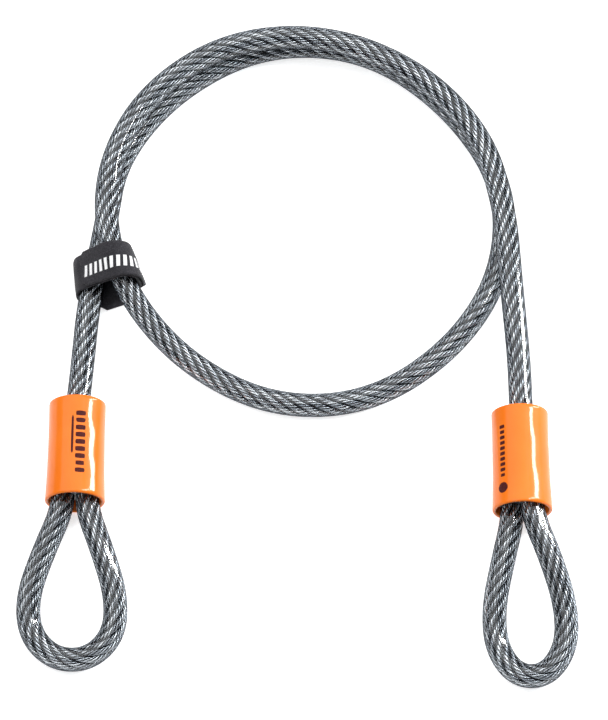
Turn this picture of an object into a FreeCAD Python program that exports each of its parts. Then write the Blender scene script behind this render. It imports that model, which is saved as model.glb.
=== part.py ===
"""Double-loop security cable: a jacketed wire rope with an eye at each end, its swaged ferrules and
sleeves, and the hook-and-loop strap that ties its coil. Millimetres, +Z up. The cable lies on the
plane Z = 0, with the origin under the middle of its bounding box and both eyes towards -Y."""
import FreeCAD, Part
import math
import os

import Sketcher

Vector = FreeCAD.Vector
Rotation = FreeCAD.Rotation
UP = Vector(0, 0, 1)

# Each driving size: alias, value, what it is.
SIZES = (
    ("cable_diameter", 10.0, "outside of the clear jacket"),
    ("rope_diameter", 7.0, "bare wire rope"),
    ("rope_clearance", 0.05, "radial gap between the rope and what holds it"),
    ("strand_gap", 0.06, "taken off each strand so that strands stay separate"),
    ("leg_gap", 0.1, "between the two jacketed legs where they leave a sleeve"),
    ("ferrule_wall", 1.5, "aluminium around each bore of a ferrule"),
    ("ferrule_length", 20.0, "swaged length of a ferrule"),
    ("ferrule_inset", 3.0, "ferrule's lower face above the sleeve's mouth"),
    ("bore_straight", 6.0, "jacketed rope that stays in line with a ferrule's bore"),
    ("sleeve_length", 44.0, "sleeve from mouth to top"),
    ("sleeve_wall", 1.55, "sleeve's wall"),
    ("sleeve_clearance", 0.12, "radial gap between a ferrule and the sleeve's waist"),
    ("sleeve_mouth_flare", 0.75, "how far the mouth stands out past the waist, on the radius"),
    ("sleeve_top_flare", 0.2, "how far the top stands out past the waist, on the radius"),
    ("layout_scale", 1.0, "spread of the coil over the table"),
    ("tape_width", 16.0, "strap's tape"),
    ("tape_thickness", 1.2, "strap's tape"),
    ("hook_thickness", 0.8, "patch of hooks under the flap"),
    ("hook_margin", 1.0, "bare tape left round the patch of hooks"),
    ("strap_clearance", 0.45, "strap to cable"),
    ("flap_clearance", 0.1, "flap and its hooks to the band below"),
)

# The main run of the cable, from the right sleeve's ferrule to the left one's: x, y, height and
# lift. The height is in cable diameters (0.5 lies on the table, 1.5 lies on another pass). The
# lift is how much of the strap's thickness below the cable raises it there.
MAIN_ROUTE = (
    (94.1, -36.5, 1.33, 0.0),
    (93.9, -10.0, 1.36, 0.0),
    (91.2, 25.0, 1.50, 0.0),
    (89.0, 62.0, 1.53, 0.0),
    (79.8, 96.5, 1.53, 0.0),
    (53.5, 127.0, 1.53, 0.0),
    (14.0, 145.0, 1.53, 0.0),
    (-29.0, 142.2, 1.53, 0.0),
    (-63.0, 118.7, 1.54, 0.0),
    (-80.6, 85.5, 1.56, 0.24),
    (-82.3, 51.0, 1.57, 1.0),
    (-71.0, 20.0, 0.985, 1.0),
    (-45.5, -8.0, 0.60, 0.0),
    (-9.0, -26.5, 0.50, 0.0),
    (32.0, -24.0, 0.50, 0.0),
    (67.5, 1.5, 0.50, 0.0),
    (88.3, 36.5, 0.50, 0.0),
    (89.8, 78.0, 0.50, 0.0),
    (66.5, 116.0, 0.50, 0.0),
    (30.5, 143.0, 0.50, 0.0),
    (-14.0, 145.8, 0.50, 0.0),
    (-53.0, 123.6, 0.50, 0.0),
    (-78.0, 90.0, 0.50, 0.24),
    (-82.3, 56.0, 0.495, 1.0),
    (-88.7, 22.0, 0.525, 1.0),
    (-90.6, -8.0, 0.95, 0.0),
    (-92.5, -32.0, 1.12, 0.0),
)

# Each end: the sleeve's mouth centre, its lean in plan, the roll of its pair of legs about the
# sleeve's axis (degrees), the side that the main run enters (+1 is +X), and the eye's points from
# that leg to the other: across and down from the mouth, and the share of the leg's height left.
ENDS = {
    "left": {
        "mouth": (-92.4, -72.2),
        "lean": -0.3,
        "roll": 0.0,
        "side": -1,
        "eye": (
            (-12.5, 21.0, 0.72),
            (-19.0, 40.0, 0.30),
            (-17.5, 56.0, 0.04),
            (-7.0, 66.5, 0.00),
            (7.0, 66.5, 0.00),
            (17.2, 56.0, 0.04),
            (18.0, 40.0, 0.30),
            (12.0, 21.0, 0.72),
        ),
    },
    "right": {
        "mouth": (93.9, -76.2),
        "lean": 0.5,
        "roll": 36.0,
        "side": 1,
        "eye": (
            (11.2, 21.0, 0.75),
            (17.0, 40.0, 0.30),
            (17.0, 57.0, 0.04),
            (8.6, 69.5, 0.00),
            (-3.7, 69.8, 0.00),
            (-12.0, 58.0, 0.04),
            (-13.0, 41.0, 0.30),
            (-8.7, 21.0, 0.80),
        ),
    },
}

OUTER_STRANDS = 6
ARC_SHARE = 0.45  # of the shorter run, taken by each arc of the cable's line

# The strap: its middle, the turn of its axis in plan, and the cable centres that it is drawn
# round, going from the low left pass to the right and over the top. Each is the distance across
# and the height above the lowest one, with the height in cable diameters.
STRAP_CENTRE = (-81.2, 34.1)
STRAP_TURN = 12.5
STRAP_CORNERS = ((-9.6, 0.0), (1.8, 0.0), (6.9, 0.54), (4.2, 0.96))
LAP_ANGLE = 62.0  # how far the strap's sewn lap runs down its right side
HINGE_GAP = 2.0  # degrees between the lap and the flap
FAR = 60.0  # well outside the strap's section

doc = FreeCAD.newDocument("cable_lock")
sheet = doc.addObject("Spreadsheet::Sheet", "Sizes")
for row, (alias, value, note) in enumerate(SIZES, start=1):
    sheet.set(f"A{row}", note)
    sheet.set(f"B{row}", str(value))
    sheet.setAlias(f"B{row}", alias)
doc.recompute()


def size(alias):
    """A driving size from the sheet."""
    return float(getattr(sheet, alias))


CABLE = size("cable_diameter")
LEG = (CABLE + size("leg_gap")) / 2
BORE = size("rope_diameter") / 2 + size("rope_clearance")
WIDEST_LEG = max(CABLE / 2, BORE + size("ferrule_wall"))  # the jacket's radius or the barrel's
WAIST = LEG + WIDEST_LEG + size("sleeve_clearance") + size("sleeve_wall")
AXIS_HEIGHT = WAIST + size("sleeve_mouth_flare")
FERRULE_TOP = size("ferrule_inset") + size("ferrule_length")
UNDER_CABLE = size("tape_thickness") + size("strap_clearance")


# ---- The cable's line -------------------------------------------------------------------------


def sleeve_frame(end):
    """The sleeve's mouth centre, the direction across it and the one up its axis."""
    lean = Rotation(UP, end["lean"])
    mouth = Vector(*end["mouth"], AXIS_HEIGHT)
    mouth.x *= size("layout_scale")
    mouth.y *= size("layout_scale")
    return mouth, lean.multVec(Vector(1, 0, 0)), lean.multVec(Vector(0, 1, 0))


def bore_point(end, side, along):
    """A point on one bore's axis, this far above the sleeve's mouth."""
    mouth, across, axis = sleeve_frame(end)
    roll = math.radians(end["roll"])
    offset = across * (side * LEG * math.cos(roll)) + UP * (side * LEG * math.sin(roll))
    return mouth + offset + axis * along


def eye_points(end):
    """The eye's route, from the main run's bore round to the tail's bore."""
    mouth, across, axis = sleeve_frame(end)
    inset = size("ferrule_inset")
    straight = inset - size("bore_straight")
    points = [bore_point(end, end["side"], inset), bore_point(end, end["side"], straight)]
    half = len(end["eye"]) / 2
    for index, (sideways, down, share) in enumerate(end["eye"]):
        side = end["side"] if index < half else -end["side"]
        leg_height = bore_point(end, side, inset).z
        point = mouth + across * sideways - axis * down
        point.z = CABLE / 2 + share * (leg_height - CABLE / 2)
        points.append(point)
    points += [bore_point(end, -end["side"], straight), bore_point(end, -end["side"], inset)]
    return points


def main_points():
    """The main run's route, from the right ferrule to the left one."""
    scale = size("layout_scale")
    straight = FERRULE_TOP + size("bore_straight")
    right, left = ENDS["right"], ENDS["left"]
    points = [bore_point(right, right["side"], FERRULE_TOP), bore_point(right, right["side"], straight)]
    for x, y, height, lift in MAIN_ROUTE:
        points.append(Vector(x * scale, y * scale, height * CABLE + lift * UNDER_CABLE))
    points += [bore_point(left, left["side"], straight), bore_point(left, left["side"], FERRULE_TOP)]
    return points


def rounded(points):
    """The route as straight runs joined by tangent arcs: a list of (start, turn), where turn is
    None for a run, or the arc's centre, axis and angle in degrees. Ends with the last point."""
    steps = []
    here = points[0]
    for before, corner, after in zip(points, points[1:], points[2:]):
        back = (before - corner).normalize()
        ahead = (after - corner).normalize()
        turn = math.pi - back.getAngle(ahead)
        reach = ARC_SHARE * min((before - corner).Length, (after - corner).Length)
        radius = reach / math.tan(turn / 2)
        start = corner + back * reach
        centre = corner + (back + ahead).normalize() * (radius / math.cos(turn / 2))
        steps.append((here, None))
        steps.append((start, (centre, ahead.cross(back).normalize(), math.degrees(turn))))
        here = corner + ahead * reach
    steps.append((here, None))
    return steps, points[-1]


def route_radii(points):
    """Each arc's radius, in order."""
    steps, _ = rounded(points)
    return [(start - turn[0]).Length for start, turn in steps if turn]


def wire_beside(stretches, offset):
    """One wire along all the stretches, each a rounded route that starts where the one before it
    ends, carried at this offset from the line. The offset turns with each arc, so it never twists."""
    edges = []
    for steps, last in stretches:
        starts = [start for start, _ in steps[1:]] + [last]
        for (start, turn), following in zip(steps, starts):
            if turn is None:
                edges.append(Part.LineSegment(start + offset, following + offset).toShape())
                continue
            centre, axis, angle = turn
            arm = start - centre + offset
            middle = centre + Rotation(axis, angle / 2).multVec(arm)
            finish = centre + Rotation(axis, angle).multVec(arm)
            edges.append(Part.Arc(start + offset, middle, finish).toShape())
            offset = Rotation(axis, angle).multVec(offset)
    return Part.Wire(edges)


def swept(name, wire, radius):
    """A round bar along the wire. The radius is an expression in the sheet's sizes."""
    line = doc.addObject("Part::Feature", f"{name}_line")
    line.Shape = wire
    circle = doc.addObject("Part::Circle", f"{name}_circle")
    circle.setExpression("Radius", radius)
    first = wire.OrderedEdges[0]
    start = first.valueAt(first.FirstParameter)
    heading = first.tangentAt(first.FirstParameter)
    circle.Placement = FreeCAD.Placement(start, Rotation(UP, heading))
    bar = doc.addObject("Part::Sweep", name)
    bar.Sections = [circle]
    bar.Spine = (line, [f"Edge{number}" for number in range(1, len(wire.Edges) + 1)])
    bar.Solid = True
    bar.Frenet = False
    return bar


def cut(name, base, tool):
    """base less tool, as one object."""
    result = doc.addObject("Part::Cut", name)
    result.Base = base
    result.Tool = tool
    return result


LEFT_EYE = rounded(eye_points(ENDS["left"]))
RIGHT_EYE = rounded(eye_points(ENDS["right"]))
MAIN_RUN = rounded(main_points())


def backwards(points):
    """The same route, walked the other way."""
    return rounded(points[::-1])


# ---- Jackets ----------------------------------------------------------------------------------

ROPE_BORE = "Sizes.rope_diameter / 2 + Sizes.rope_clearance"


def make_jacket(name, stretch):
    """A clear tube over one stretch of the rope."""
    wire = wire_beside([stretch], Vector())
    outside = swept(f"{name}_outside", wire, "Sizes.cable_diameter / 2")
    inside = swept(f"{name}_bore", wire, ROPE_BORE)
    return cut(name, outside, inside)


# ---- Strands ----------------------------------------------------------------------------------


def rope_stretches():
    """The whole rope's line: left tail, left eye, ferrule, main run, ferrule, right eye, tail."""
    left, right = ENDS["left"], ENDS["right"]
    low = size("ferrule_inset")

    def through(end, side, start, finish):
        return [(bore_point(end, side, start), None)], bore_point(end, side, finish)

    left_eye = backwards(eye_points(left))
    main_run = backwards(main_points())
    return [
        through(left, -left["side"], FERRULE_TOP, low),
        left_eye,
        through(left, left["side"], low, FERRULE_TOP),
        main_run,
        through(right, right["side"], FERRULE_TOP, low),
        RIGHT_EYE,
        through(right, -right["side"], low, FERRULE_TOP),
    ]


def make_strands():
    """The centre strand and the six round it, each a bar of the strand's outside diameter."""
    stretches = rope_stretches()
    radius = "Sizes.rope_diameter / 6 - Sizes.strand_gap / 2"
    pitch = size("rope_diameter") / 3 + size("strand_gap") / 2
    _, across, _ = sleeve_frame(ENDS["left"])
    strands = [swept("centre_strand", wire_beside(stretches, Vector()), radius)]
    for number in range(OUTER_STRANDS):
        angle = 2 * math.pi * number / OUTER_STRANDS
        offset = across * (pitch * math.cos(angle)) + UP * (pitch * math.sin(angle))
        strands.append(swept(f"outer_strand_{number + 1}", wire_beside(stretches, offset), radius))
    return strands


# ---- Ferrules and sleeves ---------------------------------------------------------------------

LEG_SPACING = "(Sizes.cable_diameter + Sizes.leg_gap)"

# The sleeve's rings from its mouth to its top: which flare and how far up the sleeve.
SLEEVE_RINGS = (
    ("sleeve_mouth_flare", 0.0),
    ("sleeve_mouth_flare", 0.3),
    ("sleeve_mouth_flare", 0.72),
    ("sleeve_top_flare", 1.0),
)
FLARE_LEFT = (1.0, 0.3, 0.0, 1.0)  # the share of that flare at each ring


def along_sleeve(end, along, roll):
    """Placement with Z up the sleeve's axis and X across it, turned by the legs' roll."""
    mouth, across, axis = sleeve_frame(end)
    upright = Rotation(across, UP, axis, "ZXY")
    return FreeCAD.Placement(mouth + axis * along, upright.multiply(Rotation(UP, -roll)))


def cylinder(name, radius, across):
    """An upright cylinder of a ferrule's length, this far across."""
    solid = doc.addObject("Part::Cylinder", name)
    solid.setExpression("Radius", radius)
    solid.setExpression("Height", "Sizes.ferrule_length")
    solid.setExpression("Placement.Base.x", across)
    return solid


def make_ferrule(name, end):
    """Two barrels side by side with a web between, and a bore through each."""
    wall = ROPE_BORE + " + Sizes.ferrule_wall"
    web = doc.addObject("Part::Box", f"{name}_web")
    web.setExpression("Length", LEG_SPACING)
    web.setExpression("Width", f"2 * ({wall})")
    web.setExpression("Height", "Sizes.ferrule_length")
    web.setExpression("Placement.Base.x", f"-{LEG_SPACING} / 2")
    web.setExpression("Placement.Base.y", f"-({wall})")
    barrels = [web]
    bores = []
    for word, across in (("near", f"-{LEG_SPACING} / 2"), ("far", f"{LEG_SPACING} / 2")):
        barrels.append(cylinder(f"{name}_{word}_barrel", wall, across))
        bores.append(cylinder(f"{name}_{word}_bore", ROPE_BORE, across))
    outside = doc.addObject("Part::MultiFuse", f"{name}_outside")
    outside.Shapes = barrels
    outside.Refine = True
    holes = doc.addObject("Part::MultiFuse", f"{name}_bores")
    holes.Shapes = bores
    ferrule = cut(name, outside, holes)
    ferrule.Placement = along_sleeve(end, size("ferrule_inset"), end["roll"])
    return ferrule


def make_sleeve(name, end):
    """A thin tube turned about its axis, a little wider at the mouth and the top."""
    body = doc.addObject("PartDesign::Body", name)
    sketch = body.newObject("Sketcher::SketchObject", f"{name}_profile")
    plane = next(part for part in body.Origin.OriginFeatures if part.Role == "XZ_Plane")
    sketch.AttachmentSupport = [(plane, "")]
    sketch.MapMode = "FlatFace"
    barrel = f"{ROPE_BORE} + Sizes.ferrule_wall"
    waist = f"{LEG_SPACING} / 2 + max(Sizes.cable_diameter / 2; {barrel}) + Sizes.sleeve_clearance"
    rings = [
        (f"{waist} + {FLARE_LEFT[index]} * Sizes.{flare}", f"{share} * Sizes.sleeve_length")
        for index, (flare, share) in enumerate(SLEEVE_RINGS)
    ]
    corners = rings + [(inner + " + Sizes.sleeve_wall", height) for inner, height in reversed(rings)]
    count = len(corners)
    guesses = []
    for number in range(count):
        row = min(number, count - 1 - number)
        column = int(number >= len(rings))
        guesses.append((WAIST + column * size("sleeve_wall"), row * size("sleeve_length") / len(rings)))
    for number in range(count):
        start, finish = guesses[number], guesses[(number + 1) % count]
        sketch.addGeometry(Part.LineSegment(Vector(*start, 0), Vector(*finish, 0)), False)
    for number in range(count):
        following = (number + 1) % count
        sketch.addConstraint(Sketcher.Constraint("Coincident", number, 2, following, 1))
    for number, (radius, height) in enumerate(corners):
        for kind, guess, text in (("X", guesses[number][0], radius), ("Y", guesses[number][1], height)):
            label = f"corner_{number}_{kind.lower()}"
            index = sketch.addConstraint(Sketcher.Constraint(f"Distance{kind}", -1, 1, number, 1, guess))
            sketch.renameConstraint(index, label)
            sketch.setExpression(f"Constraints.{label}", text)
    turned = body.newObject("PartDesign::Revolution", f"{name}_turned")
    turned.Profile = sketch
    turned.ReferenceAxis = (sketch, ["V_Axis"])
    turned.Angle = 360
    body.Tip = turned
    body.Placement = along_sleeve(end, 0, 0)
    return body


# ---- Strap ------------------------------------------------------------------------------------

INNER_LOOP = "Sizes.cable_diameter / 2 + Sizes.strap_clearance"
BAND_LOOP = INNER_LOOP + " + Sizes.tape_thickness"
HOOK_LOOP = BAND_LOOP + " + Sizes.flap_clearance"
FLAP_LOOP = HOOK_LOOP + " + Sizes.hook_thickness"
OUTER_LOOP = FLAP_LOOP + " + Sizes.tape_thickness"


def strap_corner(index):
    """A corner of the strap's former, across and up in the strap's own section."""
    across, lift = STRAP_CORNERS[index]
    return Vector(across * size("layout_scale"), CABLE / 2 + UNDER_CABLE + lift * CABLE, 0)


def prism(name, outline, width):
    """A block with this outline, centred on the strap's middle plane."""
    block = doc.addObject("Part::Extrusion", name)
    block.Base = outline
    block.DirMode = "Custom"
    block.Dir = UP
    block.setExpression("LengthFwd", width)
    block.Symmetric = True
    block.Solid = True
    return block


def polygon(name, corners):
    """A closed outline through the corners."""
    outline = doc.addObject("Part::Polygon", name)
    outline.Nodes = corners
    outline.Close = True
    return outline


def loop_block(name, former, reach, width="Sizes.tape_width"):
    """The former's outline grown by reach, with round corners, as a block."""
    outline = doc.addObject("Part::Offset2D", f"{name}_outline")
    outline.Source = former
    outline.setExpression("Value", reach)
    return prism(name, outline, width)


def common(name, first, second):
    """What both blocks hold."""
    shared = doc.addObject("Part::Common", name)
    shared.Base = first
    shared.Tool = second
    return shared


def make_strap():
    """The band round both passes with its sewn lap, the flap over it and the flap's hooks."""
    former = polygon("strap_former", [strap_corner(index) for index in range(len(STRAP_CORNERS))])
    low_left, right, top = strap_corner(0), strap_corner(2), strap_corner(3)
    slope = (low_left - top).normalize()
    normal = Vector(slope.y, -slope.x, 0)

    def spoke(degrees):
        """A point far out from the right corner, at this angle above level."""
        angle = math.radians(degrees)
        return right + Vector(math.cos(angle), math.sin(angle), 0) * FAR

    def sector(name, corners, width="Sizes.tape_width"):
        """A block that covers part of the loop."""
        return prism(name, polygon(f"{name}_outline", corners), width)

    band_ring = cut(
        "band_ring",
        loop_block("band_outside", former, BAND_LOOP),
        loop_block("band_inside", former, INNER_LOOP),
    )
    lap_sector = sector("lap_sector", [right, spoke(-LAP_ANGLE), spoke(0)])
    lap_ring = cut(
        "lap_ring",
        loop_block("lap_outside", former, OUTER_LOOP),
        loop_block("lap_inside", former, BAND_LOOP),
    )
    lap = common("lap", lap_ring, lap_sector)
    band = doc.addObject("Part::MultiFuse", "strap_band")
    band.Shapes = [band_ring, lap]
    band.Refine = True

    flap_corners = [right, spoke(HINGE_GAP), spoke(90)]
    flap_corners += [top + Vector(-FAR, FAR, 0), low_left + normal * FAR, low_left]
    flap_sector = sector("flap_sector", flap_corners)
    flap_ring = cut(
        "flap_ring",
        loop_block("flap_outside", former, OUTER_LOOP),
        loop_block("flap_inside", former, FLAP_LOOP),
    )
    flap = common("strap_flap", flap_ring, flap_sector)

    margin = size("hook_margin")
    hook_end = low_left - slope * margin
    hook_corners = [top, top + Vector(0, FAR, 0), hook_end + normal * FAR, hook_end]
    hook_width = "Sizes.tape_width - 2 * Sizes.hook_margin"
    hook_sector = sector("hook_sector", hook_corners, hook_width)
    hook_ring = cut(
        "hook_ring",
        loop_block("hook_outside", former, FLAP_LOOP, hook_width),
        loop_block("hook_inside", former, HOOK_LOOP, hook_width),
    )
    hooks = common("strap_hook_patch", hook_ring, hook_sector)

    turn = Rotation(UP, STRAP_TURN)
    across, axis = turn.multVec(Vector(1, 0, 0)), turn.multVec(Vector(0, 1, 0))
    centre = Vector(*STRAP_CENTRE, 0) * size("layout_scale")
    for node in (band, flap, hooks):
        node.Placement = FreeCAD.Placement(centre, Rotation(across, UP, axis * -1, "ZXY"))
    return [band, flap, hooks]


# ---- Assembly ---------------------------------------------------------------------------------

nodes = [
    make_jacket("main_jacket", MAIN_RUN),
    make_jacket("left_loop_jacket", LEFT_EYE),
    make_jacket("right_loop_jacket", RIGHT_EYE),
]
nodes += make_strands()
for word, end in ENDS.items():
    nodes.append(make_ferrule(f"{word}_ferrule", end))
    nodes.append(make_sleeve(f"{word}_sleeve", end))
nodes += make_strap()
for node in nodes:
    node.Label = node.Name
doc.recompute()

for thing in doc.Objects:
    if {"Invalid", "Error"} & set(thing.State):
        raise RuntimeError(f"{thing.Name} failed: {thing.State}")
for node in nodes:
    if node.Shape.isNull() or not node.Shape.isValid() or not node.Shape.Solids:
        raise RuntimeError(f"{node.Name} has no valid solid")

# Each jacket's radii of bend, and its volume against its section times its length.
section = math.pi * ((CABLE / 2) ** 2 - BORE**2)
routes = {
    "main_jacket": main_points(),
    "left_loop_jacket": eye_points(ENDS["left"]),
    "right_loop_jacket": eye_points(ENDS["right"]),
}
for name, points in routes.items():
    length = wire_beside([rounded(points)], Vector()).Length
    ratio = doc.getObject(name).Shape.Volume / (section * length)
    radii = " ".join(f"{radius:.0f}" for radius in route_radii(points))
    print(f"{name}: length {length:.1f}, volume ratio {ratio:.4f}, radii {radii}")

os.makedirs("parts", exist_ok=True)
for node in nodes:
    node.Shape.exportStep(os.path.join("parts", node.Label + ".step"))
print(f"{len(nodes)} nodes written")
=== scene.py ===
"""Looks of the double-loop security cable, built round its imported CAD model. Metres, +Z up."""

import math

import bpy
import numpy as np
from mathutils import Matrix, Vector


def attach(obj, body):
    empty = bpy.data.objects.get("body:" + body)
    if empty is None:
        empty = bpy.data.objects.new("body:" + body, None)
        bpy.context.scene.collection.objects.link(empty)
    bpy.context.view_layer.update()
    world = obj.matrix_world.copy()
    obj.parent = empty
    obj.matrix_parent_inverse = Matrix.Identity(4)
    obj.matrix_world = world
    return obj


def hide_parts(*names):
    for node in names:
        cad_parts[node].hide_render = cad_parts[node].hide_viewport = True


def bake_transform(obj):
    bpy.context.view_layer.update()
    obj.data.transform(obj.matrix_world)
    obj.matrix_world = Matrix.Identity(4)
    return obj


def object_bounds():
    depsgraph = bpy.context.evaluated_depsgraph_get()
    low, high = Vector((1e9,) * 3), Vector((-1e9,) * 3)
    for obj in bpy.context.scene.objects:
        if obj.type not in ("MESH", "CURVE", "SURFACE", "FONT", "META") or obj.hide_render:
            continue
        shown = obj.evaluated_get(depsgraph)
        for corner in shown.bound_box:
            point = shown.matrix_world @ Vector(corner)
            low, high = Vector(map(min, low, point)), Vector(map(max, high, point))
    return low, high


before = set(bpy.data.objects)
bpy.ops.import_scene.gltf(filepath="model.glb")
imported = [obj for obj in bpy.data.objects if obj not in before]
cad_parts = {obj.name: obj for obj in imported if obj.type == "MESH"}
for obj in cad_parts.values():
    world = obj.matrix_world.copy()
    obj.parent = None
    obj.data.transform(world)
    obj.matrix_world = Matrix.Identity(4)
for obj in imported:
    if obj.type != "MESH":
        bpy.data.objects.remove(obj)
cad_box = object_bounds()

# ---- Camera -----------------------------------------------------------------------------------

VIEW_TARGET = Vector((0.003, -0.0025, 0.0))
VIEW_ELEVATION = math.radians(67.0)
VIEW_DISTANCE = 1.8

camera_data = bpy.data.cameras.new("camera")
camera_data.lens = 211.5
camera_data.sensor_width = 36.0
camera = bpy.data.objects.new("camera", camera_data)
bpy.context.scene.collection.objects.link(camera)
backward = Vector((0, -math.cos(VIEW_ELEVATION), math.sin(VIEW_ELEVATION)))
camera.location = VIEW_TARGET + backward * VIEW_DISTANCE
camera.rotation_euler = (-backward).to_track_quat("-Z", "Y").to_euler()
bpy.context.scene.camera = camera

# ---- The cable's line, with the same points as the CAD route ----------------------------------

CABLE = 0.010
ROPE = 0.007
LEG = 0.00505
AXIS_HEIGHT = 0.01252
FERRULE_INSET = 0.003
FERRULE_TOP = 0.023
BORE_STRAIGHT = 0.006

# x and y in metres, height in cable diameters.
MAIN_ROUTE = (
    (0.0941, -0.0365, 1.33),
    (0.0939, -0.0100, 1.36),
    (0.0912, 0.0250, 1.50),
    (0.0890, 0.0620, 1.53),
    (0.0798, 0.0965, 1.53),
    (0.0535, 0.1270, 1.53),
    (0.0140, 0.1450, 1.53),
    (-0.0290, 0.1422, 1.53),
    (-0.0630, 0.1187, 1.54),
    (-0.0806, 0.0855, 1.60),
    (-0.0823, 0.0510, 1.735),
    (-0.0710, 0.0200, 1.15),
    (-0.0455, -0.0080, 0.60),
    (-0.0090, -0.0265, 0.50),
    (0.0320, -0.0240, 0.50),
    (0.0675, 0.0015, 0.50),
    (0.0883, 0.0365, 0.50),
    (0.0898, 0.0780, 0.50),
    (0.0665, 0.1160, 0.50),
    (0.0305, 0.1430, 0.50),
    (-0.0140, 0.1458, 0.50),
    (-0.0530, 0.1236, 0.50),
    (-0.0780, 0.0900, 0.54),
    (-0.0823, 0.0560, 0.66),
    (-0.0887, 0.0220, 0.69),
    (-0.0906, -0.0080, 0.95),
    (-0.0925, -0.0320, 1.12),
)

# Each end: mouth centre, lean and roll in degrees, side of the main run, and the eye's points
# (across and down from the mouth, share of the leg's height left).
ENDS = {
    "left": {
        "mouth": (-0.0924, -0.0722),
        "lean": -0.3,
        "roll": 0.0,
        "side": -1,
        "eye": (
            (-0.0125, 0.0210, 0.72),
            (-0.0190, 0.0400, 0.30),
            (-0.0175, 0.0560, 0.04),
            (-0.0070, 0.0665, 0.00),
            (0.0070, 0.0665, 0.00),
            (0.0172, 0.0560, 0.04),
            (0.0180, 0.0400, 0.30),
            (0.0120, 0.0210, 0.72),
        ),
    },
    "right": {
        "mouth": (0.0939, -0.0762),
        "lean": 0.5,
        "roll": 36.0,
        "side": 1,
        "eye": (
            (0.0112, 0.0210, 0.75),
            (0.0170, 0.0400, 0.30),
            (0.0170, 0.0570, 0.04),
            (0.0086, 0.0695, 0.00),
            (-0.0037, 0.0698, 0.00),
            (-0.0120, 0.0580, 0.04),
            (-0.0130, 0.0410, 0.30),
            (-0.0087, 0.0210, 0.80),
        ),
    },
}


def sleeve_frame(end):
    """The sleeve's mouth centre, the direction across it and the one up its axis."""
    lean = Matrix.Rotation(math.radians(end["lean"]), 3, "Z")
    return Vector((*end["mouth"], AXIS_HEIGHT)), lean @ Vector((1, 0, 0)), lean @ Vector((0, 1, 0))


def bore_point(end, side, along):
    """A point on one bore's axis, this far above the sleeve's mouth."""
    mouth, across, axis = sleeve_frame(end)
    roll = math.radians(end["roll"])
    offset = across * (side * LEG * math.cos(roll)) + Vector((0, 0, side * LEG * math.sin(roll)))
    return mouth + offset + axis * along


def eye_points(end):
    """The eye's route, from the main run's bore round to the tail's bore."""
    mouth, across, axis = sleeve_frame(end)
    straight = FERRULE_INSET - BORE_STRAIGHT
    points = [bore_point(end, end["side"], FERRULE_INSET), bore_point(end, end["side"], straight)]
    half = len(end["eye"]) / 2
    for index, (sideways, down, share) in enumerate(end["eye"]):
        side = end["side"] if index < half else -end["side"]
        leg_height = bore_point(end, side, FERRULE_INSET).z
        point = mouth + across * sideways - axis * down
        point.z = CABLE / 2 + share * (leg_height - CABLE / 2)
        points.append(point)
    points.append(bore_point(end, -end["side"], straight))
    points.append(bore_point(end, -end["side"], FERRULE_INSET))
    return points


def main_points():
    """The main run's route, from the right ferrule to the left one."""
    straight = FERRULE_TOP + BORE_STRAIGHT
    right, left = ENDS["right"], ENDS["left"]
    points = [bore_point(right, right["side"], height) for height in (FERRULE_TOP, straight)]
    points += [Vector((x, y, z * CABLE)) for x, y, z in MAIN_ROUTE]
    points += [bore_point(left, left["side"], height) for height in (straight, FERRULE_TOP)]
    return points


def nurbs_line(name, route):
    """Points down the NURBS spline that has the route as its control points."""
    curve = bpy.data.curves.new(name, "CURVE")
    curve.dimensions = "3D"
    curve.resolution_u = 32
    spline = curve.splines.new("NURBS")
    spline.points.add(len(route) - 1)
    for place, point in zip(spline.points, route):
        place.co = (*point, 1.0)
    spline.order_u = 3
    spline.use_endpoint_u = True
    holder = bpy.data.objects.new(name, curve)
    mesh = bpy.data.meshes.new_from_object(holder)
    line = np.array([v.co for v in mesh.vertices], float)
    bpy.data.meshes.remove(mesh)
    bpy.data.curves.remove(curve)
    return line


def spaced(line, step):
    """The same line with points an even step apart, and how far along it each one is."""
    along = np.concatenate([[0], np.cumsum(np.linalg.norm(np.diff(line, axis=0), axis=1))])
    at = np.linspace(0, along[-1], max(2, round(along[-1] / step) + 1))
    return np.stack([np.interp(at, along, line[:, k]) for k in range(3)], axis=1), at


def smooth(value, low, high):
    """0 below low, 1 above high, and an even curve between."""
    share = np.clip((value - low) / (high - low), 0, 1)
    return share * share * (3 - 2 * share)


def unit(v):
    """The same directions at length 1."""
    return v / np.linalg.norm(v, axis=-1, keepdims=True)


def carried_frames(line, first):
    """Two directions square to the line at each point, carried along it without twist."""
    tangent = unit(np.gradient(line, axis=0))
    normal = np.zeros_like(line)
    here = np.array(first, float)
    for i, t in enumerate(tangent):
        here = unit(here - t * (here @ t))
        normal[i] = here
    return normal, np.cross(tangent, normal)


def link(name, mesh, material, body):
    """A new piece of that mesh, riding on the body."""
    piece = bpy.data.objects.new(name, mesh)
    bpy.context.scene.collection.objects.link(piece)
    mesh.materials.append(material)
    if body:
        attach(piece, body)
    return piece


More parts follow.
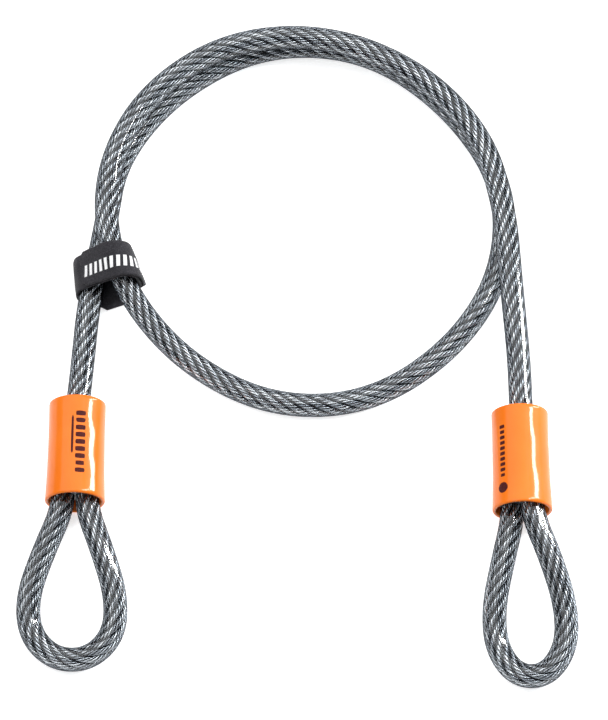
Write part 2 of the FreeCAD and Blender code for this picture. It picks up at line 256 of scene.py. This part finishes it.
def quad_mesh(name, points, quads, caps=(), rounded=True):
    """A mesh from arrays of points and four-sided faces, and any caps, which stay flat."""
    mesh = bpy.data.meshes.new(name)
    corners = [np.asarray(quads).ravel(), *[np.asarray(c) for c in caps]]
    loops = np.concatenate(corners).astype(np.int32)
    sizes = np.concatenate([np.full(len(quads), 4), [len(c) for c in caps]]).astype(np.int32)
    mesh.vertices.add(len(points))
    mesh.vertices.foreach_set("co", np.asarray(points, np.float32).ravel())
    mesh.loops.add(len(loops))
    mesh.loops.foreach_set("vertex_index", loops)
    mesh.polygons.add(len(sizes))
    mesh.polygons.foreach_set("loop_start", (np.cumsum(sizes) - sizes).astype(np.int32))
    flags = np.full(len(sizes), rounded)
    flags[len(quads):] = False
    mesh.polygons.foreach_set("use_smooth", flags)
    mesh.update(calc_edges=True)
    mesh.validate()
    return mesh


def tube_parts(rings, first=0):
    """Points, quads and caps of a tube through the rings, an array (rings, points, 3)."""
    count, sides = rings.shape[:2]
    index = first + np.arange(count * sides).reshape(count, sides)
    after = np.roll(index, -1, axis=1)
    quads = np.stack([index[:-1], after[:-1], after[1:], index[1:]], axis=-1).reshape(-1, 4)
    return rings.reshape(-1, 3), quads, [index[0][::-1], index[-1]]


def circle_rings(line, normal, side, radius, count):
    """A circle of points round each point of the line."""
    angle = np.arange(count) * (2 * math.pi / count)
    cosine, sine = np.cos(angle)[None, :, None], np.sin(angle)[None, :, None]
    return line[:, None] + radius * (normal[:, None] * cosine + side[:, None] * sine)


LEFT_EYE = nurbs_line("left_eye_route", eye_points(ENDS["left"]))
RIGHT_EYE = nurbs_line("right_eye_route", eye_points(ENDS["right"]))
MAIN_RUN = nurbs_line("main_route", main_points())

# ---- Material tools ---------------------------------------------------------------------------


class Nodes:
    """A node tree that is written as nested calls."""

    def __init__(self, name):
        self.material = bpy.data.materials.new(name)
        self.material.use_nodes = True
        self.tree = self.material.node_tree
        self.tree.nodes.clear()

    def add(self, kind, inputs=None, **settings):
        node = self.tree.nodes.new(kind)
        for key, value in settings.items():
            setattr(node, key, value)
        for key, value in (inputs or {}).items():
            socket = node.inputs[key]
            if isinstance(value, bpy.types.NodeSocket):
                self.tree.links.new(value, socket)
            else:
                socket.default_value = value
        return node

    def math(self, operation, a, b=0.0):
        return self.add("ShaderNodeMath", {0: a, 1: b}, operation=operation).outputs[0]

    def noise(self, where, scale, detail=3.0, roughness=0.55):
        return self.add(
            "ShaderNodeTexNoise",
            {"Vector": where, "Scale": scale, "Detail": detail, "Roughness": roughness},
        ).outputs["Fac"]

    def ramp(self, fac, stops):
        node = self.add("ShaderNodeValToRGB", {"Fac": fac})
        elements = node.color_ramp.elements
        while len(elements) < len(stops):
            elements.new(0.5)
        for element, (place, colour) in zip(elements, stops):
            element.position = place
            element.color = (*colour, 1.0)
        return node.outputs["Color"]

    def mix(self, fac, a, b):
        return self.add("ShaderNodeMix", {0: fac, 6: a, 7: b}, data_type="RGBA").outputs[2]

    def bump(self, height, distance, strength=1.0):
        return self.add(
            "ShaderNodeBump", {"Height": height, "Distance": distance, "Strength": strength}
        ).outputs["Normal"]

    def stored(self, label):
        """A value that the mesh stores at each point."""
        return self.add("ShaderNodeAttribute", attribute_name=label).outputs["Fac"]

    def place(self):
        return self.add("ShaderNodeTexCoord").outputs["Object"]

    def finish(self, shader):
        out = self.add("ShaderNodeOutputMaterial")
        self.tree.links.new(shader, out.inputs["Surface"])
        return self.material


def rgb(r, g, b):
    return (r, g, b, 1.0)


def steel_material():
    """Bright wire, each with its own tone, with painted shade: near-black in the grooves between
    wires and between strands.
    """
    n = Nodes("galvanised_wire")
    tone = n.stored("tone")
    painted_light_fac = n.stored("painted_light")
    cloud = n.noise(n.place(), 300.0, 2.0)
    shade = n.math("ADD", n.math("MULTIPLY", tone, 0.75), n.math("MULTIPLY", cloud, 0.25))
    tones = ((0.15, (0.30, 0.32, 0.35)), (0.50, (0.56, 0.59, 0.62)), (0.85, (0.93, 0.95, 0.97)))
    bare = n.ramp(shade, tones)
    # Painted shade: the near-black goes where the wire lies in a groove between wires or between
    # strands.
    colour = n.mix(painted_light_fac, rgb(0.012, 0.013, 0.015), bare)
    shader = n.add(
        "ShaderNodeBsdfPrincipled",
        {
            "Base Color": colour,
            "Metallic": 1.0,
            "Roughness": 0.27,
        },
    )
    return n.finish(shader.outputs[0])


def jacket_material():
    """Clear vinyl, darker towards its rims: partly a slight smoky tint, partly painted shade. The
    light passes straight through to the rope.
    """
    n = Nodes("clear_vinyl")
    where = n.place()
    bump = n.bump(n.noise(where, 45.0, 1.0), 0.00004, 0.3)
    facing = n.add("ShaderNodeLayerWeight", {"Blend": 0.5}).outputs["Facing"]
    # Painted shade: the refracted colour darkens strongly towards the rims, beyond a slight smoky
    # tint near the middle.
    rim_tint_and_painted_shade_stops = ((0.34, (0.95, 0.965, 0.98)), (0.50, (0.62, 0.65, 0.68)), (0.66, (0.26, 0.275, 0.30)))
    rim_tint_and_painted_shade = n.ramp(facing, rim_tint_and_painted_shade_stops)
    inside = n.add(
        "ShaderNodeBsdfRefraction",
        {"Color": rim_tint_and_painted_shade, "Roughness": 0.0, "IOR": 1.5, "Normal": bump},
    )
    gloss = n.add("ShaderNodeBsdfAnisotropic", {"Roughness": 0.09, "Normal": bump})
    fresnel = n.math("MINIMUM", n.add("ShaderNodeFresnel", {"IOR": 1.5}).outputs[0], 0.042)
    surface = n.add("ShaderNodeMixShader", {0: fresnel, 1: inside.outputs[0], 2: gloss.outputs[0]})
    clear = n.add("ShaderNodeBsdfTransparent", {"Color": rgb(0.86, 0.9, 0.92)})
    shadow = n.add("ShaderNodeLightPath").outputs["Is Shadow Ray"]
    both = n.add("ShaderNodeMixShader", {0: shadow, 1: surface.outputs[0], 2: clear.outputs[0]})
    return n.finish(both.outputs[0])


STEEL = steel_material()
JACKET = jacket_material()

# ---- Strands and jackets ----------------------------------------------------------------------

STRAND_RING = ROPE / 3 + 0.00003
WIRE_RADIUS = ROPE / 18 - 0.000005
STRAND_LAY = 0.0385
WIRE_LAY = 0.0099
WIRES = 6
WIRE_SIDES = 8
STRAND_STEP = 0.0010
JACKET_STEP = 0.0015
JACKET_SIDES = 48


def rope_line():
    """The whole rope's line: left tail, left eye, ferrule, main run, ferrule, right eye, tail."""
    left, right = ENDS["left"], ENDS["right"]
    ends = (left, right)
    tails = [np.array([bore_point(end, -end["side"], FERRULE_TOP)], float) for end in ends]
    return np.concatenate([tails[0], LEFT_EYE[::-1], MAIN_RUN[::-1], RIGHT_EYE, tails[1]])


def make_strands():
    """Seven strands of twisted wires, the centre one first."""
    line, along = spaced(rope_line(), STRAND_STEP)
    normal, side = carried_frames(line, (1, 0, 0))
    random = np.random.default_rng(7)

    def offset(angle, radius):
        return radius * (normal * np.cos(angle)[:, None] + side * np.sin(angle)[:, None])

    def painted_light(points, middle):
        """How lit each point of a wire is painted: 1 on its strand's crown, 0 (painted shade) in a
        groove or towards the rope's middle.
        """
        from_strand = np.linalg.norm(points - middle[:, None], axis=2) / WIRE_RADIUS
        from_rope = np.linalg.norm(points - line[:, None], axis=2) / (ROPE / 2)
        # Both factors paint shade: dark between a strand's wires, and dark towards the rope's middle
        # between strands.
        return smooth(from_strand, 2.45, 2.95) * smooth(from_rope, 0.34, 0.70)

    for number in range(7):
        turn = 2 * math.pi * (number / 6 + along / STRAND_LAY)
        middle = line if number == 0 else line + offset(turn, STRAND_RING)
        points, quads, caps, tones, painted_lights = [], [], [], [], []
        for wire in range(WIRES):
            roll = turn + 2 * math.pi * (wire / WIRES - along / WIRE_LAY)
            centre = middle + offset(roll, 2 * WIRE_RADIUS)
            first = sum(len(p) for p in points)
            rings = circle_rings(centre, normal, side, WIRE_RADIUS, WIRE_SIDES)
            made = tube_parts(rings, first)
            painted_lights.append(painted_light(rings, middle).ravel())
            points.append(made[0])
            quads.append(made[1])
            caps += made[2]
            tones.append(np.full(len(made[0]), random.random()))
        name = "rope_centre_strand" if number == 0 else f"rope_strand_{number}"
        mesh = quad_mesh(name, np.concatenate(points), np.concatenate(quads), caps)
        for label, values in (("tone", tones), ("painted_light", painted_lights)):
            data = mesh.attributes.new(label, "FLOAT", "POINT").data
            data.foreach_set("value", np.concatenate(values))
        piece = link(name, mesh, STEEL, "cable")
        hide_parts("centre_strand" if number == 0 else f"outer_strand_{number}")


def make_jacket(name, node, route_line):
    """One run of jacket, as a tube along its route's line."""
    line, along = spaced(route_line, JACKET_STEP)
    normal, side = carried_frames(line, (0, 0, 1))
    points, quads, caps = tube_parts(circle_rings(line, normal, side, CABLE / 2, JACKET_SIDES))
    piece = link(name, quad_mesh(name, points, quads, caps), JACKET, "cable")
    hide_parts(node)


make_strands()
make_jacket("main_jacket_tube", "main_jacket", MAIN_RUN)
make_jacket("left_loop_tube", "left_loop_jacket", LEFT_EYE)
make_jacket("right_loop_tube", "right_loop_jacket", RIGHT_EYE)

# ---- Ferrules ---------------------------------------------------------------------------------


def ferrule_material():
    """Pressed aluminium with fine scratches along it."""
    n = Nodes("pressed_aluminium")
    stretched = n.add("ShaderNodeMapping", {"Vector": n.place(), "Scale": (900, 60, 900)})
    scratches = n.noise(stretched.outputs[0], 1.0)
    shader = n.add(
        "ShaderNodeBsdfPrincipled",
        {
            "Base Color": n.ramp(scratches, ((0.3, (0.55, 0.56, 0.57)), (0.7, (0.80, 0.81, 0.82)))),
            "Metallic": 1.0,
            "Roughness": 0.38,
            "Normal": n.bump(scratches, 0.00005, 0.5),
        },
    )
    return n.finish(shader.outputs[0])


FERRULE = ferrule_material()
for word in ENDS:
    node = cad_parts[f"{word}_ferrule"]
    node.data.materials.clear()
    node.data.materials.append(FERRULE)

# ---- Sleeves ----------------------------------------------------------------------------------

SLEEVE_LENGTH = 0.044
SLEEVE_WALL = 0.00155
WAIST = 0.01177
MOUTH_FLARE = 0.00075
TOP_FLARE = 0.0002
SLEEVE_RINGS = 45
SLEEVE_TURNS = 96


def sleeve_flare(share):
    """How far the sleeve's wall stands out, by the share of its length from the mouth."""
    return np.interp(share, (0, 0.3, 0.72, 1), (MOUTH_FLARE, MOUTH_FLARE * 0.3, 0, TOP_FLARE))


def sleeve_material():
    """Glossy orange vinyl."""
    n = Nodes("orange_vinyl")
    where = n.place()
    cloud = n.noise(where, 60.0, 2.0)
    colour = n.ramp(cloud, ((0.3, (0.84, 0.175, 0.010)), (0.7, (0.88, 0.200, 0.016))))
    shader = n.add(
        "ShaderNodeBsdfPrincipled",
        {
            "Base Color": colour,
            "Roughness": 0.3,
            "Specular IOR Level": 0.10,
            "Coat Weight": 0.34,
            "Coat Roughness": 0.03,
            "Normal": n.bump(n.noise(where, 60.0, 1.0), 0.0001, 0.25),
        },
    )
    return n.finish(shader.outputs[0])


SLEEVE = sleeve_material()


def print_material():
    """Flat maroon ink."""
    n = Nodes("maroon_print")
    inks = ((0.3, (0.045, 0.006, 0.006)), (0.7, (0.085, 0.012, 0.010)))
    colour = n.ramp(n.noise(n.place(), 1200.0, 2.0), inks)
    inputs = {"Base Color": colour, "Roughness": 0.6, "Specular IOR Level": 0.15}
    return n.finish(n.add("ShaderNodeBsdfPrincipled", inputs).outputs[0])


PRINT = print_material()
PRINT_LIFT = 0.00004

# Plain marks in place of each sleeve's print: degrees round the sleeve from its right side, the
# place along it from the mouth, half the width and half the length in metres.
LEFT_BARS = [(79.0, 0.0355 - 0.0032 * i, 0.0021, 0.0011) for i in range(9)]
LEFT_RULE = (95.5, 0.0260, 0.0005, 0.0085)
RIGHT_BARS = [(133.0, 0.0345 - 0.0024 * i, 0.0013, 0.0008) for i in range(10)]
RIGHT_DOT = (133.0, 0.0072, 0.0026, 0.0026)
MARKS = {"left": [*LEFT_BARS, LEFT_RULE], "right": [*RIGHT_BARS, RIGHT_DOT]}


def make_sleeve(word, end):
    """The sleeve's wall turned round its axis, with a flared mouth and rounded lips."""
    mouth, across, axis = (np.array(v) for v in sleeve_frame(end))
    up = np.array((0.0, 0.0, 1.0))
    share = np.linspace(0, 1, SLEEVE_RINGS)
    flare = sleeve_flare(share)
    flare = np.convolve(np.pad(flare, 3, mode="edge"), np.ones(7) / 7, mode="valid")
    flare[0], flare[-1] = MOUTH_FLARE, TOP_FLARE
    half = SLEEVE_WALL / 2
    middle = WAIST - half + flare
    inset = half + share * (SLEEVE_LENGTH - 2 * half)
    lip = np.linspace(-math.pi / 2, math.pi / 2, 9)[1:-1]
    profile = [(r + half, y) for r, y in zip(middle, inset)]
    profile += [(middle[-1] - half * math.sin(a), inset[-1] + half * math.cos(a)) for a in lip]
    profile += [(r - half, y) for r, y in zip(middle[::-1], inset[::-1])]
    profile += [(middle[0] + half * math.sin(a), inset[0] - half * math.cos(a)) for a in lip]
    profile = np.array(profile)
    angle = np.arange(SLEEVE_TURNS) * (2 * math.pi / SLEEVE_TURNS)
    out = across[None] * np.cos(angle)[:, None] + up[None] * np.sin(angle)[:, None]
    points = mouth + profile[None, :, :1] * out[:, None] + profile[None, :, 1:] * axis[None, None]
    count = len(profile)
    index = np.arange(SLEEVE_TURNS * count).reshape(SLEEVE_TURNS, count)
    right = np.roll(index, -1, axis=0)
    around = [index, np.roll(index, -1, 1), np.roll(right, -1, 1), right]
    quads = np.stack(around, -1).reshape(-1, 4)
    name = f"{word}_sleeve_tube"
    piece = link(name, quad_mesh(name, points.reshape(-1, 3), quads), SLEEVE, "cable")
    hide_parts(f"{word}_sleeve")


def make_marks(word, end):
    """The sleeve's print: thin patches that follow its outside."""
    mouth, across, axis = (np.array(v) for v in sleeve_frame(end))
    up = np.array((0.0, 0.0, 1.0))
    points, quads, first = [], [], 0
    rings, sides = 5, 24
    lift = PRINT_LIFT * np.array((1, 1, 1, 1, 0.2))[:, None]
    angle = np.arange(sides) * (2 * math.pi / sides)
    for degrees, along, half_wide, half_long in MARKS[word]:
        # A bar is nearly square at its corners, and a mark as wide as it is long is a round dot.
        square = np.maximum(np.abs(np.cos(angle)), np.abs(np.sin(angle)))
        edge = 0.35 + 0.65 / square if half_wide != half_long else np.ones(sides)
        share = np.linspace(0.0, 1.0, rings)[:, None]
        turned = math.radians(degrees) + share * edge * np.cos(angle) * half_wide / WAIST
        height = along + share * edge * np.sin(angle) * half_long
        radius = WAIST + sleeve_flare(height / SLEEVE_LENGTH) + lift
        out = across * np.cos(turned)[..., None] + up * np.sin(turned)[..., None]
        patch = mouth + out * radius[..., None] + axis * height[..., None]
        made = tube_parts(patch, first)
        points.append(made[0])
        quads.append(made[1])
        first += len(made[0])
    mesh = quad_mesh(f"{word}_sleeve_print", np.concatenate(points), np.concatenate(quads))
    link(f"{word}_sleeve_print", mesh, PRINT, "cable")


for word, end in ENDS.items():
    make_sleeve(word, end)
    make_marks(word, end)

# ---- Strap ------------------------------------------------------------------------------------

STRAP_CENTRE = Vector((-0.0812, 0.0341, 0.0))
STRAP_TURN = math.radians(12.5)
HALF_TAPE = 0.0080
TAPE = 0.00105
LOOP_STEPS = 420
STEP_LENGTH = 0.00021
TOP_SKEW = 0.115

# The corners that the tape goes round, across and up in the strap's own section, at the tape's
# lower and upper edges: it widens downwards, where the two passes part.
LOWER_EDGE = ((-0.0087, 0.00665), (0.0036, 0.00665), (0.0074, 0.0094), (0.0061, 0.0156))
UPPER_EDGE = ((-0.0069, 0.00665), (0.0020, 0.00665), (0.0053, 0.0097), (0.00435, 0.0167))
BAND_REACH = 0.00530
HOOK_REACH = BAND_REACH + TAPE + 0.00008
FLAP_REACH = HOOK_REACH + 0.00052


def tape_section(corners):
    """Evenly spaced points round the corners, with the way out at each, from the bottom round."""
    corners = np.array(corners, float)
    ways = unit(np.roll(corners, -1, axis=0) - corners)
    out = np.stack([ways[:, 1], -ways[:, 0]], axis=1)
    places, normals = [], []
    middle = (corners[0] + corners[1]) / 2
    for share in np.linspace(0, 1, 40, endpoint=False):
        places.append(middle + (corners[1] - middle) * share)
        normals.append(out[0])
    for index in (1, 2, 3, 0):
        start = math.atan2(out[index - 1][1], out[index - 1][0])
        turn = (math.atan2(out[index][1], out[index][0]) - start) % (2 * math.pi)
        for share in np.linspace(0, 1, 80, endpoint=False):
            angle = start + turn * share
            places.append(corners[index])
            normals.append((math.cos(angle), math.sin(angle)))
        goal = corners[(index + 1) % 4] if index else middle
        for share in np.linspace(0, 1, 80, endpoint=False):
            places.append(corners[index] + (goal - corners[index]) * share)
            normals.append(out[index])
    places, normals = np.array(places), np.array(normals)
    path = places + normals * FLAP_REACH
    step = np.linalg.norm(np.diff(path, axis=0, append=path[:1]), axis=1)
    along = np.concatenate([[0], np.cumsum(step)])
    at = np.arange(LOOP_STEPS) * along[-1] / LOOP_STEPS

    def even(values):
        closed = np.concatenate([values, values[:1]])
        return np.stack([np.interp(at, along, closed[:, k]) for k in range(2)], axis=1)

    return even(places), even(normals)


LOWER_SECTION, UPPER_SECTION = tape_section(LOWER_EDGE), tape_section(UPPER_EDGE)
STRAP_ACROSS = np.array((math.cos(STRAP_TURN), math.sin(STRAP_TURN), 0.0))
STRAP_AXIS = np.array((-math.sin(STRAP_TURN), math.cos(STRAP_TURN), 0.0))


def on_strap(step, along, reach):
    """Points from a step round the loop, a place along the strap's axis and a reach out."""
    step, along, reach = np.broadcast_arrays(step, along, reach)
    share = ((along + HALF_TAPE) / (2 * HALF_TAPE))[..., None]
    low, high = np.floor(step).astype(int), np.floor(step).astype(int) + 1
    part = (step - np.floor(step))[..., None]

    def at(section):
        here, after = low % LOOP_STEPS, high % LOOP_STEPS
        place, normal = (v[here] * (1 - part) + v[after] * part for v in section)
        return place + normal * reach[..., None]

    flat = at(LOWER_SECTION) * (1 - share) + at(UPPER_SECTION) * share
    skew = -TOP_SKEW * flat[..., :1] * smooth(flat[..., 1:], 0.004, 0.012)
    point = np.array(STRAP_CENTRE) + flat[..., :1] * STRAP_ACROSS
    point = point + (along[..., None] + skew) * STRAP_AXIS
    point[..., 2] += flat[..., 1]
    return point


def tape_ring(half_width, thickness, rows=44, rim=5):
    """A tape's cross-section: places across its width and heights through it."""
    edge = thickness / 2
    straight = np.linspace(-half_width + edge, half_width - edge, rows)
    angle = np.linspace(-math.pi / 2, math.pi / 2, rim + 2)[1:-1]
    along = np.concatenate([straight, half_width - edge + edge * np.cos(angle)])
    height = np.concatenate([np.zeros(rows), edge + edge * np.sin(angle)])
    along = np.concatenate([along, straight[::-1], -half_width + edge - edge * np.cos(angle)])
    height = np.concatenate([height, np.full(rows, thickness), edge - edge * np.sin(angle)])
    return along, height


def tape_wave(step, along):
    """The little waves of a worn tape."""
    long_wave = 0.00007 * np.sin(step * 0.061 + along * 420.0)
    return long_wave + 0.00005 * np.sin(step * 0.143 - along * 700.0 + 1.0)


def tape_mesh(name, steps, reach, along, height, closed):
    """A tape round the strap's loop, with what its weave and print need stored at its points.

    A closed tape is the inner turn, which has no print.
    """
    step = np.broadcast_to(steps[:, None], along.shape)
    points = on_strap(step, along, reach + height + tape_wave(step, along))
    rings = np.concatenate([points, points[:1]]) if closed else points
    _, quads, caps = tube_parts(rings)
    if closed:
        count = points.shape[0] * points.shape[1]
        quads = np.where(quads >= count, quads - count, quads)
        caps = []
    mesh = quad_mesh(name, points.reshape(-1, 3), quads, caps)
    printed = 0.0 if closed else smooth(height, TAPE * 0.6, TAPE * 0.9)
    facing = np.broadcast_to(printed, along.shape)
    for label, values in (("round", step), ("across", along), ("face", facing)):
        data = mesh.attributes.new(label, "FLOAT", "POINT").data
        data.foreach_set("value", np.ascontiguousarray(values, np.float32).ravel())
    return mesh


# Steps round the loop from the middle of its underside: the outer tape's two ends, its print and
# its hooks.
LAP_START = 62.0
FLAP_TIP = 292.0
PRINT_FROM = 112.0
PRINT_PITCH = 13.5
PRINT_BARS = 13
HOOKS_FROM = 150.0
HOOKS_TO = 283.0


def tape_material():
    """Black woven tape with plain slanting bars in place of its print."""
    n = Nodes("woven_tape")
    where = n.place()
    fuzz = n.noise(where, 1600.0, 4.0, 0.75)
    cloud = n.noise(where, 260.0, 2.0)
    rib = n.math("SINE", n.math("MULTIPLY", n.stored("across"), 9000.0))
    pick = n.math("SINE", n.math("MULTIPLY", n.stored("round"), 2.4))
    weave = n.math("MULTIPLY", rib, pick)
    height = n.math("ADD", fuzz, n.math("MULTIPLY", weave, 0.22))
    shade = n.math("ADD", n.math("MULTIPLY", height, 0.8), n.math("MULTIPLY", cloud, 0.25))
    blacks = (
        (0.25, (0.006, 0.006, 0.008)),
        (0.55, (0.026, 0.025, 0.030)),
        (0.9, (0.085, 0.082, 0.095)),
    )
    cloth = n.ramp(shade, blacks)

    slant = n.math("ADD", n.stored("round"), n.math("MULTIPLY", n.stored("across"), 900.0))
    beat = n.math("FRACT", n.math("DIVIDE", n.math("SUBTRACT", slant, PRINT_FROM), PRINT_PITCH))
    bar = n.math("LESS_THAN", beat, 0.52)
    from_middle = n.math("ABSOLUTE", n.math("ADD", n.stored("across"), 0.0014))
    near = n.math("LESS_THAN", from_middle, 0.0025)
    after = n.math("GREATER_THAN", slant, PRINT_FROM)
    before = n.math("LESS_THAN", slant, PRINT_FROM + PRINT_PITCH * PRINT_BARS)
    inked = n.math("MULTIPLY", n.math("MULTIPLY", bar, near), n.math("MULTIPLY", after, before))
    inked = n.math("MULTIPLY", inked, n.stored("face"))
    ink = n.ramp(fuzz, ((0.3, (0.72, 0.72, 0.74)), (0.5, (0.90, 0.90, 0.91))))
    shader = n.add(
        "ShaderNodeBsdfPrincipled",
        {
            "Base Color": n.mix(inked, cloth, ink),
            "Roughness": 0.9,
            "Specular IOR Level": 0.2,
            "Sheen Weight": 0.15,
            "Sheen Roughness": 0.5,
            "Normal": n.bump(height, 0.00025, 0.8),
        },
    )
    return n.finish(shader.outputs[0])


WOVEN = tape_material()


def make_band():
    """The inner turn of tape, and the tail of it that shows below the strap's lower edge."""
    along, height = tape_ring(HALF_TAPE, TAPE)
    steps = np.arange(LOOP_STEPS, dtype=float)
    place, normal = LOWER_SECTION
    sideways, up = (place + normal * BAND_REACH).T
    under = up < 0.0025
    # The tail's cut end slopes both ways from its longest point, and stops at the strap's right.
    longest = 0.0056
    past_point = sideways + 0.0028
    tail = np.minimum(longest + past_point * 0.83, longest - past_point * 0.13)
    tail = np.clip(np.minimum(tail, (0.0092 - sideways) * 1.5), 0, None) * under
    edge = smooth(-along, 0.0, HALF_TAPE)
    wide = along[None] - tail[:, None] * edge[None]
    mesh = tape_mesh("strap_inner_tape", steps, BAND_REACH, wide, height[None], True)
    piece = link("strap_inner_tape", mesh, WOVEN, "strap")
    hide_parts("strap_band")


def lap_rise(step):
    """The outer tape's share of its full height over the inner one: 0 where it's sewn down."""
    return smooth(step, LAP_START + 4.0, LAP_START + 30.0)


def make_flap():
    """The outer turn: sewn down at the lap, then lifted a little further off the band."""
    along, height = tape_ring(HALF_TAPE, TAPE)
    steps = np.linspace(LAP_START, FLAP_TIP, 460)
    to_tip = (FLAP_TIP - steps) * STEP_LENGTH
    shape = np.minimum(1.0, (HALF_TAPE - 0.0022 + np.clip(to_tip, 0, None)) / HALF_TAPE)
    reach = FLAP_REACH - (FLAP_REACH - HOOK_REACH) * (1 - lap_rise(steps))
    wide = along[None] * shape[:, None]
    mesh = tape_mesh("strap_outer_tape", steps, reach[:, None], wide, height[None], False)
    piece = link("strap_outer_tape", mesh, WOVEN, None)
    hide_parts("strap_flap")
    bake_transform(piece)


def fine_black(name, grain, dark, light, roughness):
    """A black that varies a little from point to point."""
    n = Nodes(name)
    colour = n.ramp(n.noise(n.place(), grain, 2.0), ((0.3, dark), (0.7, light)))
    inputs = {"Base Color": colour, "Roughness": roughness}
    return n.finish(n.add("ShaderNodeBsdfPrincipled", inputs).outputs[0])


def make_hooks():
    """The flap's hooks: a thin backing with rows of small bent bristles that face the band."""
    half = HALF_TAPE - 0.001
    backing_along, backing_height = tape_ring(half, 0.00016, rows=20, rim=2)
    steps = np.linspace(HOOKS_FROM, HOOKS_TO, 140)
    top = FLAP_REACH - 0.00018
    step = np.broadcast_to(steps[:, None], (len(steps), len(backing_along)))
    along = np.broadcast_to(backing_along, step.shape)
    wave = tape_wave(step, along)
    points, quads, caps = tube_parts(on_strap(step, along, top + backing_height[None] + wave))
    pieces, faces = [points], [quads]
    # Each bristle is a square wire that rises from the backing and bends over.
    rise = np.array((0.00004, -0.00012, -0.00024, -0.00031, -0.00027))
    lean = np.array((0.0, 0.0, 0.3, 1.0, 1.7))
    wire = 0.00007
    corner = np.array(((-1, -1), (1, -1), (1, 1), (-1, 1))) * wire
    first = len(points)
    for row, place in enumerate(np.arange(HOOKS_FROM + 4.0, HOOKS_TO - 2.0, 3.2)):
        for column, across in enumerate(np.linspace(-half + 0.0007, half - 0.0007, 17)):
            way = 1 if (row + column) % 2 else -1
            ring_step = place + way * lean[:, None] + corner[None, :, 0] / STEP_LENGTH
            ring = on_strap(ring_step, across + corner[None, :, 1], top + rise[:, None])
            made = tube_parts(ring, first)
            pieces.append(made[0])
            faces.append(made[1])
            caps += made[2]
            first += len(made[0])
    points, quads = np.concatenate(pieces), np.concatenate(faces)
    mesh = quad_mesh("strap_hooks", points, quads, caps, rounded=False)
    nylon = fine_black("nylon_hooks", 900.0, (0.010, 0.010, 0.012), (0.035, 0.035, 0.040), 0.42)
    piece = link("strap_hooks", mesh, nylon, "flap")
    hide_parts("strap_hook_patch")


def make_stitches():
    """The box of stitches that holds the lap."""
    points, faces, caps, first = [], [], [], 0
    # Each stitch: its step and place across, and half its length round the loop and across it.
    sides, ends = (-1, 1), (LAP_START + 3, LAP_START + 34)
    runs = [(LAP_START + 4 + 4.6 * i, side * 0.0064, 1.5, 0.0) for i in range(7) for side in sides]
    runs += [(edge, 0.00064 * (i - 9.0), 0.0, 0.00032) for i in range(19) for edge in ends]
    angle = np.arange(6) * (math.pi / 3)
    for step, along, half_round, half_across in runs:
        share = np.linspace(-1, 1, 6)
        lift = 0.00009 * (1 - share**2) - 0.00004
        thick = 0.00016 * np.sqrt(1.02 - share**2)
        wide = np.cos(angle)[None] * thick[:, None]
        ring_step = step + share[:, None] * half_round + (wide / STEP_LENGTH if half_across else 0)
        ring_along = along + share[:, None] * half_across + (0 if half_across else wide)
        ring_step, ring_along = np.broadcast_arrays(ring_step, ring_along)
        surface = HOOK_REACH + (FLAP_REACH - HOOK_REACH) * lap_rise(ring_step) + TAPE
        out = surface + tape_wave(ring_step, ring_along) + lift[:, None]
        out = out + np.sin(angle)[None] * thick[:, None]
        made = tube_parts(on_strap(ring_step, ring_along, out), first)
        points.append(made[0])
        faces.append(made[1])
        caps += made[2]
        first += len(made[0])
    mesh = quad_mesh("strap_stitches", np.concatenate(points), np.concatenate(faces), caps)
    thread = fine_black("sewing_thread", 2500.0, (0.012, 0.012, 0.014), (0.060, 0.058, 0.066), 0.6)
    link("strap_stitches", mesh, thread, "strap")


make_band()
make_flap()
make_hooks()
make_stitches()

# ---- Floor and light --------------------------------------------------------------------------


def floor_material():
    """White paper that glows a little, so that it stays pale under soft light."""
    n = Nodes("floor")
    paper = n.add("ShaderNodeBsdfDiffuse", {"Color": rgb(0.8, 0.8, 0.8)})
    glow = n.add("ShaderNodeEmission", {"Color": rgb(1.0, 1.0, 1.0), "Strength": 0.62})
    both = n.add("ShaderNodeAddShader", {0: paper.outputs[0], 1: glow.outputs[0]})
    return n.finish(both.outputs[0])


FLOOR_HALF = 6.0
FLOOR_GAP = 0.00005

floor_mesh = bpy.data.meshes.new("floor")
floor_corners = [(x * FLOOR_HALF, y * FLOOR_HALF, 0) for x, y in ((-1, -1), (1, -1), (1, 1), (-1, 1))]
floor_mesh.from_pydata(floor_corners, [], [(0, 1, 2, 3)])
floor = bpy.data.objects.new("floor", floor_mesh)
floor_mesh.materials.append(floor_material())
bpy.context.scene.collection.objects.link(floor)
floor.location.z = cad_box[0].z - FLOOR_GAP


def softbox(name, direction, distance, size, power):
    """A rectangular light that faces the object from that direction."""
    data = bpy.data.lights.new(name, "AREA")
    data.shape = "RECTANGLE"
    data.size, data.size_y = size
    data.energy = power
    lamp = bpy.data.objects.new(name, data)
    away = Vector(direction).normalized()
    lamp.location = away * distance
    lamp.rotation_euler = (-away).to_track_quat("-Z", "Y").to_euler()
    bpy.context.scene.collection.objects.link(lamp)


softbox("strip", (0.80, 0.36, 0.58), 1.3, (0.085, 1.4), 20.0)
softbox("overhead", (-0.25, 0.35, 1.0), 1.6, (2.6, 2.2), 36.0)
softbox("front", (-0.5, -0.9, 0.9), 2.0, (1.0, 1.0), 6.0)

world = bpy.data.worlds.new("studio")
world.use_nodes = True
sky = world.node_tree.nodes["Background"]
sky.inputs["Color"].default_value = rgb(0.92, 0.96, 1.0)
sky.inputs["Strength"].default_value = 0.10
bpy.context.scene.world = world
bpy.context.scene.view_settings.view_transform = "Standard"
